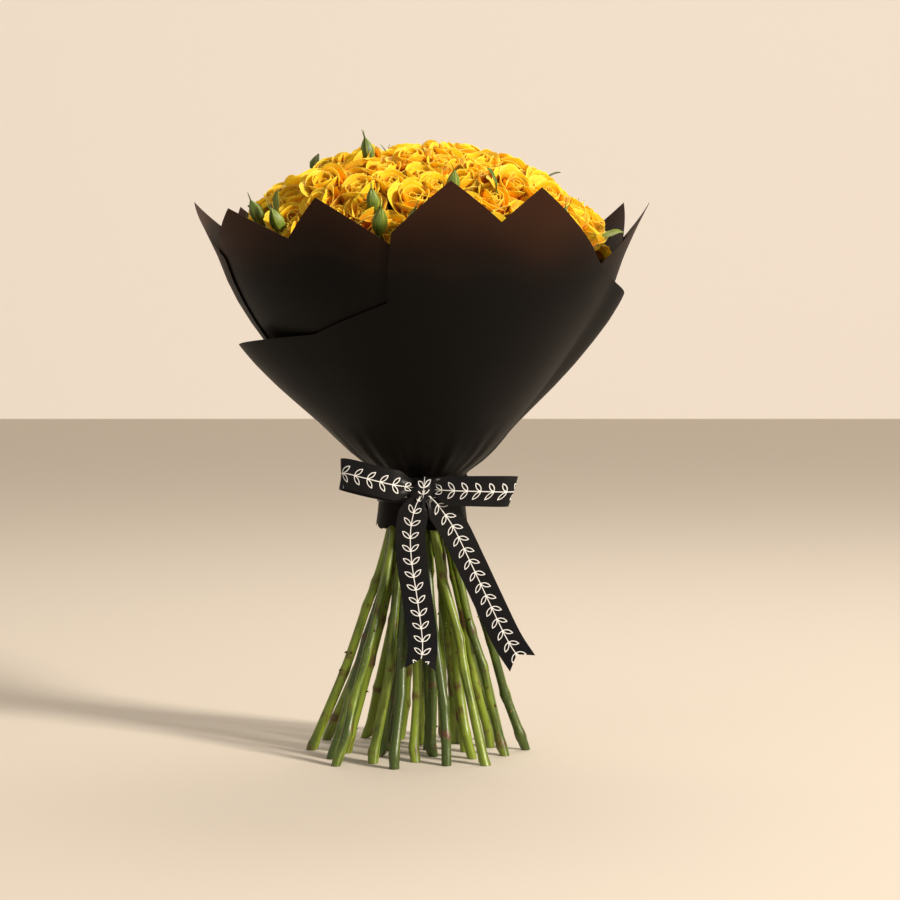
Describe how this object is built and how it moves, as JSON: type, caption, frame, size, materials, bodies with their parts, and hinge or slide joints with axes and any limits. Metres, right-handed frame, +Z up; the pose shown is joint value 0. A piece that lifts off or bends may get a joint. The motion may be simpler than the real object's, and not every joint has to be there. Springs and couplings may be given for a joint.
{
  "type": "hand-tied bouquet of roses",
  "caption": "Hand-tied dome of yellow spray roses in black wrapping paper, tied with a printed black ribbon bow, standing on its cut stems.",
  "frame": {"origin": "centre of the object's bounding box in X and Y, on the surface the cut stem ends stand on", "axes": "+Z up along the bunch; -Y is the front, with the bow; +X is to the right seen from the front"},
  "size_m": [0.3876, 0.3968, 0.5197],
  "materials": {
    "petal": "matte",
    "stem": "satin",
    "paper": "satin",
    "ribbon": "satin"
  },
  "bodies": {
    "root": {"rose_stem_01": "stem", "rose_stem_02": "stem", "rose_stem_03": "stem", "rose_stem_04": "stem", "rose_stem_05": "stem", "rose_stem_06": "stem", "rose_stem_07": "stem", "rose_stem_08": "stem", "rose_stem_09": "stem", "rose_stem_10": "stem", "rose_stem_11": "stem", "rose_stem_12": "stem", "rose_stem_13": "stem", "rose_stem_14": "stem", "rose_stem_15": "stem", "rose_stem_16": "stem", "rose_stem_17": "stem", "rose_stem_18": "stem", "rose_stem_19": "stem", "rose_stem_20": "stem", "rose_stem_21": "stem", "rose_stem_22": "stem", "rose_stem_23": "stem", "rose_stem_24": "stem", "rose_stem_25": "stem", "rose_stem_26": "stem", "rose_stem_27": "stem", "rose_stem_28": "stem", "rose_spray_01": "petal", "rose_spray_02": "petal", "rose_spray_03": "petal", "rose_spray_04": "petal", "rose_spray_05": "petal", "rose_spray_06": "petal", "rose_spray_07": "petal", "rose_spray_08": "petal", "rose_spray_09": "petal", "rose_spray_10": "petal", "rose_spray_11": "petal", "rose_spray_12": "petal", "rose_spray_13": "petal", "rose_spray_14": "petal", "rose_spray_15": "petal", "rose_spray_16": "petal", "rose_spray_17": "petal", "rose_spray_18": "petal", "wrap_sheet_right": "paper", "wrap_sheet_right_back": "paper", "wrap_sheet_back": "paper", "wrap_sheet_left_back": "paper", "wrap_sheet_left": "paper", "wrap_sheet_right_outer": "paper", "wrap_sheet_front": "paper", "ribbon_band": "ribbon", "ribbon_knot": "ribbon", "ribbon_loop_left": "ribbon", "ribbon_loop_right": "ribbon", "ribbon_tail_left": "ribbon", "ribbon_tail_right": "ribbon"}
  },
  "joints": []
}
